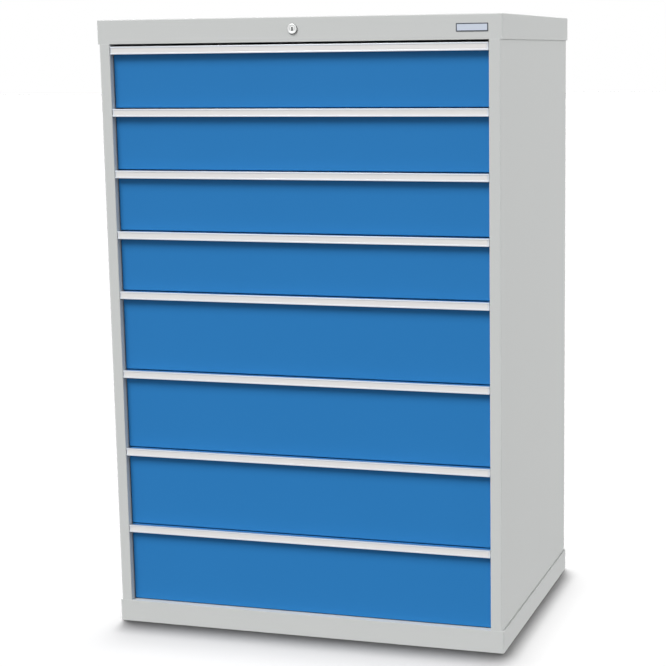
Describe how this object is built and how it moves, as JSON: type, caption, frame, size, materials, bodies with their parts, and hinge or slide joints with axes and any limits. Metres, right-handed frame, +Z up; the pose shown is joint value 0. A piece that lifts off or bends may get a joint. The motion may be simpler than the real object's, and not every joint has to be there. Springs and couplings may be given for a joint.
{
  "type": "multi-drawer cabinet",
  "caption": "Floor-standing sheet-steel cabinet with full-width drawers on telescopic runners, long handle strips and a key lock in its top cover.",
  "frame": {"origin": "on the floor, below the middle of the cabinet's box, with the lock in it", "axes": "+X to the right seen from the front, -Y out of the front, +Z up"},
  "size_m": [1.015, 0.736, 1.519],
  "materials": {
    "body_paint": "light grey textured powder coat",
    "front_paint": "bright blue powder coat, satin",
    "strip_aluminium": "natural anodised",
    "label_insert": "paper under a clear cover",
    "zinc_steel": "bright zinc plating",
    "lock_chrome": "polished",
    "plate_aluminium": "satin anodised"
  },
  "bodies": {
    "cabinet": {"left_side_panel": "body_paint", "right_side_panel": "body_paint", "back_panel": "body_paint", "top_cover": "body_paint", "base_frame": "body_paint", "floor_panel": "body_paint", "runner_uprights": "zinc_steel", "fixed_runners": "zinc_steel", "lock_housing": "lock_chrome", "name_plate": "plate_aluminium"},
    "lock_cylinder": {"lock_rotor": "lock_chrome"},
    "lock_rod": {"lock_bar": "zinc_steel"},
    "drawer_1": {"drawer_tray_1": "body_paint", "drawer_front_1": "front_paint", "handle_strip_1": "strip_aluminium", "label_strip_1": "label_insert", "drawer_rails_1": "zinc_steel"},
    "slide_1": {"middle_runners_1": "zinc_steel"},
    "drawer_2": {"drawer_tray_2": "body_paint", "drawer_front_2": "front_paint", "handle_strip_2": "strip_aluminium", "label_strip_2": "label_insert", "drawer_rails_2": "zinc_steel"},
    "slide_2": {"middle_runners_2": "zinc_steel"},
    "drawer_3": {"drawer_tray_3": "body_paint", "drawer_front_3": "front_paint", "handle_strip_3": "strip_aluminium", "label_strip_3": "label_insert", "drawer_rails_3": "zinc_steel"},
    "slide_3": {"middle_runners_3": "zinc_steel"},
    "drawer_4": {"drawer_tray_4": "body_paint", "drawer_front_4": "front_paint", "handle_strip_4": "strip_aluminium", "label_strip_4": "label_insert", "drawer_rails_4": "zinc_steel"},
    "slide_4": {"middle_runners_4": "zinc_steel"},
    "drawer_5": {"drawer_tray_5": "body_paint", "drawer_front_5": "front_paint", "handle_strip_5": "strip_aluminium", "label_strip_5": "label_insert", "drawer_rails_5": "zinc_steel"},
    "slide_5": {"middle_runners_5": "zinc_steel"},
    "drawer_6": {"drawer_tray_6": "body_paint", "drawer_front_6": "front_paint", "handle_strip_6": "strip_aluminium", "label_strip_6": "label_insert", "drawer_rails_6": "zinc_steel"},
    "slide_6": {"middle_runners_6": "zinc_steel"},
    "drawer_7": {"drawer_tray_7": "body_paint", "drawer_front_7": "front_paint", "handle_strip_7": "strip_aluminium", "label_strip_7": "label_insert", "drawer_rails_7": "zinc_steel"},
    "slide_7": {"middle_runners_7": "zinc_steel"},
    "drawer_8": {"drawer_tray_8": "body_paint", "drawer_front_8": "front_paint", "handle_strip_8": "strip_aluminium", "label_strip_8": "label_insert", "drawer_rails_8": "zinc_steel"},
    "slide_8": {"middle_runners_8": "zinc_steel"}
  },
  "joints": [
    {"name": "lock_turn", "type": "hinge", "parent": "cabinet", "child": "lock_cylinder", "pos_m": [0, -0.364, 1.491], "axis": [0, 1, 0], "range_deg": [0, 90]},
    {"name": "lock_rod_slide", "type": "slide", "parent": "cabinet", "child": "lock_rod", "axis": [0, 0, -1], "range_m": [0, 0.01132]},
    {"name": "drawer_1_slide", "type": "slide", "parent": "cabinet", "child": "drawer_1", "axis": [0, -1, 0], "range_m": [0, 0.61]},
    {"name": "runner_1_slide", "type": "slide", "parent": "cabinet", "child": "slide_1", "axis": [0, -1, 0], "range_m": [0, 0.305]},
    {"name": "drawer_2_slide", "type": "slide", "parent": "cabinet", "child": "drawer_2", "axis": [0, -1, 0], "range_m": [0, 0.61]},
    {"name": "runner_2_slide", "type": "slide", "parent": "cabinet", "child": "slide_2", "axis": [0, -1, 0], "range_m": [0, 0.305]},
    {"name": "drawer_3_slide", "type": "slide", "parent": "cabinet", "child": "drawer_3", "axis": [0, -1, 0], "range_m": [0, 0.61]},
    {"name": "runner_3_slide", "type": "slide", "parent": "cabinet", "child": "slide_3", "axis": [0, -1, 0], "range_m": [0, 0.305]},
    {"name": "drawer_4_slide", "type": "slide", "parent": "cabinet", "child": "drawer_4", "axis": [0, -1, 0], "range_m": [0, 0.61]},
    {"name": "runner_4_slide", "type": "slide", "parent": "cabinet", "child": "slide_4", "axis": [0, -1, 0], "range_m": [0, 0.305]},
    {"name": "drawer_5_slide", "type": "slide", "parent": "cabinet", "child": "drawer_5", "axis": [0, -1, 0], "range_m": [0, 0.61]},
    {"name": "runner_5_slide", "type": "slide", "parent": "cabinet", "child": "slide_5", "axis": [0, -1, 0], "range_m": [0, 0.305]},
    {"name": "drawer_6_slide", "type": "slide", "parent": "cabinet", "child": "drawer_6", "axis": [0, -1, 0], "range_m": [0, 0.61]},
    {"name": "runner_6_slide", "type": "slide", "parent": "cabinet", "child": "slide_6", "axis": [0, -1, 0], "range_m": [0, 0.305]},
    {"name": "drawer_7_slide", "type": "slide", "parent": "cabinet", "child": "drawer_7", "axis": [0, -1, 0], "range_m": [0, 0.61]},
    {"name": "runner_7_slide", "type": "slide", "parent": "cabinet", "child": "slide_7", "axis": [0, -1, 0], "range_m": [0, 0.305]},
    {"name": "drawer_8_slide", "type": "slide", "parent": "cabinet", "child": "drawer_8", "axis": [0, -1, 0], "range_m": [0, 0.61]},
    {"name": "runner_8_slide", "type": "slide", "parent": "cabinet", "child": "slide_8", "axis": [0, -1, 0], "range_m": [0, 0.305]}
  ],
  "couplings": [
    {"joint": "lock_turn", "follows": "lock_rod_slide", "rad_per_m": 138.76},
    {"joint": "runner_1_slide", "follows": "drawer_1_slide", "ratio": 0.5},
    {"joint": "runner_2_slide", "follows": "drawer_2_slide", "ratio": 0.5},
    {"joint": "runner_3_slide", "follows": "drawer_3_slide", "ratio": 0.5},
    {"joint": "runner_4_slide", "follows": "drawer_4_slide", "ratio": 0.5},
    {"joint": "runner_5_slide", "follows": "drawer_5_slide", "ratio": 0.5},
    {"joint": "runner_6_slide", "follows": "drawer_6_slide", "ratio": 0.5},
    {"joint": "runner_7_slide", "follows": "drawer_7_slide", "ratio": 0.5},
    {"joint": "runner_8_slide", "follows": "drawer_8_slide", "ratio": 0.5}
  ]
}
